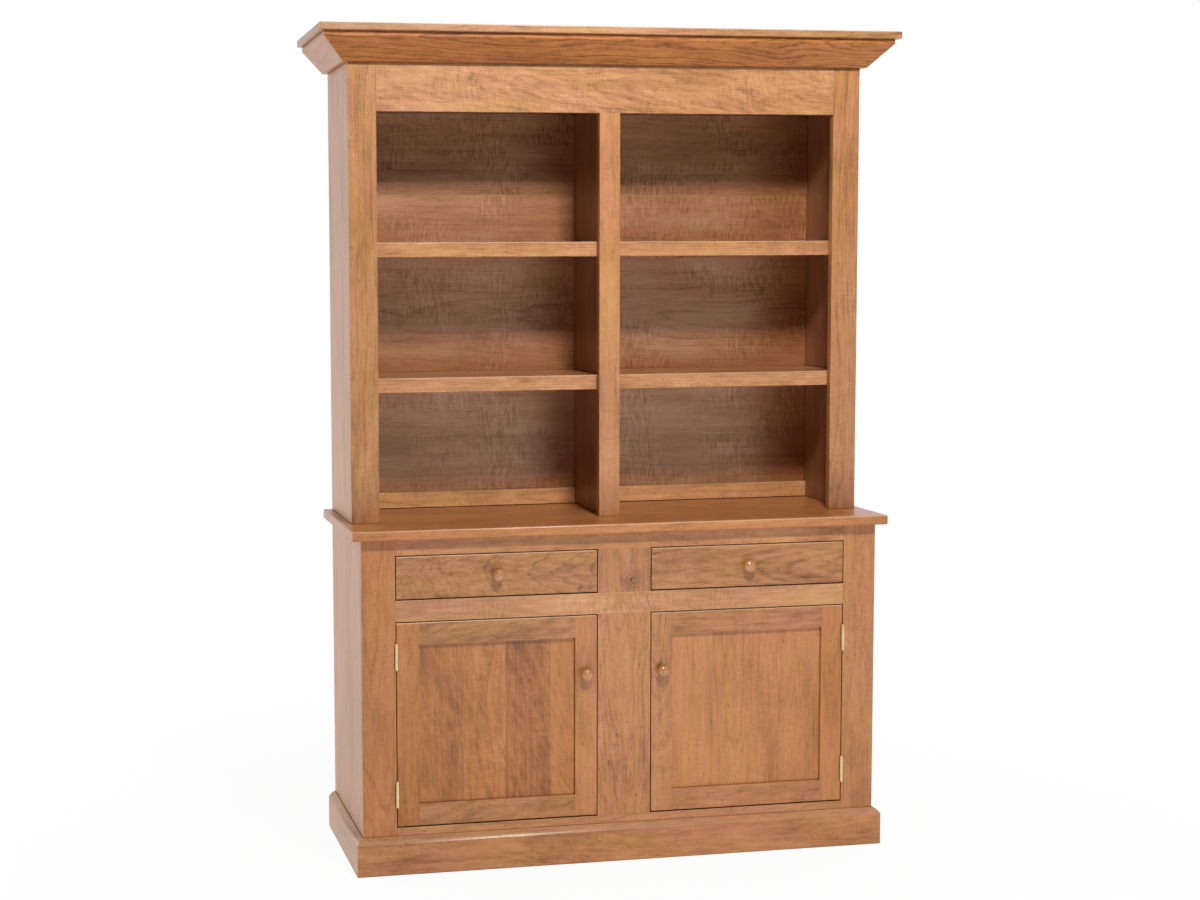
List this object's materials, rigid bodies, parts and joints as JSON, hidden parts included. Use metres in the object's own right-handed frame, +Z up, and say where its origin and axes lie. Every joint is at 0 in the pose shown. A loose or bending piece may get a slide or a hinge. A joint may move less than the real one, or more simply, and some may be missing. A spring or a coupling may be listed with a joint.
{
  "type": "step back cupboard",
  "caption": "Wooden step back cupboard: an open shelved hutch under a sprung crown, on a base with inset drawers over panelled doors.",
  "frame": {"origin": "on the floor under the middle of the cupboard's box", "axes": "+X to the right as seen from the front, +Y to the back, +Z up; the front faces -Y"},
  "size_m": [1.53, 0.496, 2.134],
  "materials": {
    "cherry": "satin oil and lacquer",
    "inside_wood": "sealed",
    "brass": "satin"
  },
  "bodies": {
    "case": {"base_back": "inside_wood", "base_bottom_rail": "cherry", "base_floor": "inside_wood", "base_left_side": "cherry", "base_left_stile": "cherry", "base_middle_rail": "cherry", "base_partition": "inside_wood", "base_right_side": "cherry", "base_right_stile": "cherry", "base_top_rail": "cherry", "counter_top": "cherry", "crown_cap": "cherry", "crown_front": "cherry", "crown_returns": "cherry", "door_mullion": "cherry", "door_stops": "inside_wood", "drawer_decks": "inside_wood", "drawer_mullion": "cherry", "drawer_runners": "inside_wood", "hinge_frame_leaves": "brass", "hinge_pins": "brass", "hutch_back": "cherry", "hutch_back_rails": "cherry", "hutch_centre_stile": "cherry", "hutch_divider": "cherry", "hutch_header": "cherry", "hutch_left_side": "cherry", "hutch_left_stile": "cherry", "hutch_right_side": "cherry", "hutch_right_stile": "cherry", "hutch_shelves": "cherry", "hutch_top": "cherry", "plinth_front": "cherry", "plinth_returns": "cherry", "shelf_nosings": "cherry"},
    "left_drawer": {"left_drawer_back": "inside_wood", "left_drawer_bottom": "inside_wood", "left_drawer_front": "cherry", "left_drawer_knob": "cherry", "left_drawer_sides": "inside_wood"},
    "right_drawer": {"right_drawer_back": "inside_wood", "right_drawer_bottom": "inside_wood", "right_drawer_front": "cherry", "right_drawer_knob": "cherry", "right_drawer_sides": "inside_wood"},
    "left_door": {"left_door_hinge_leaves": "brass", "left_door_hinge_stile": "cherry", "left_door_knob": "cherry", "left_door_meeting_stile": "cherry", "left_door_panel": "cherry", "left_door_rails": "cherry"},
    "right_door": {"right_door_hinge_leaves": "brass", "right_door_hinge_stile": "cherry", "right_door_knob": "cherry", "right_door_meeting_stile": "cherry", "right_door_panel": "cherry", "right_door_rails": "cherry"}
  },
  "joints": [
    {"name": "left_drawer_slide", "type": "slide", "parent": "case", "child": "left_drawer", "axis": [0, -1, 0], "range_m": [0, 0.33]},
    {"name": "right_drawer_slide", "type": "slide", "parent": "case", "child": "right_drawer", "axis": [0, -1, 0], "range_m": [0, 0.33]},
    {"name": "left_door_hinge", "type": "hinge", "parent": "case", "child": "left_door", "pos_m": [-0.59575, -0.2243, 0.38], "axis": [0, 0, -1], "range_deg": [0, 170]},
    {"name": "right_door_hinge", "type": "hinge", "parent": "case", "child": "right_door", "pos_m": [0.59575, -0.2243, 0.38], "axis": [0, 0, 1], "range_deg": [0, 170]}
  ]
}
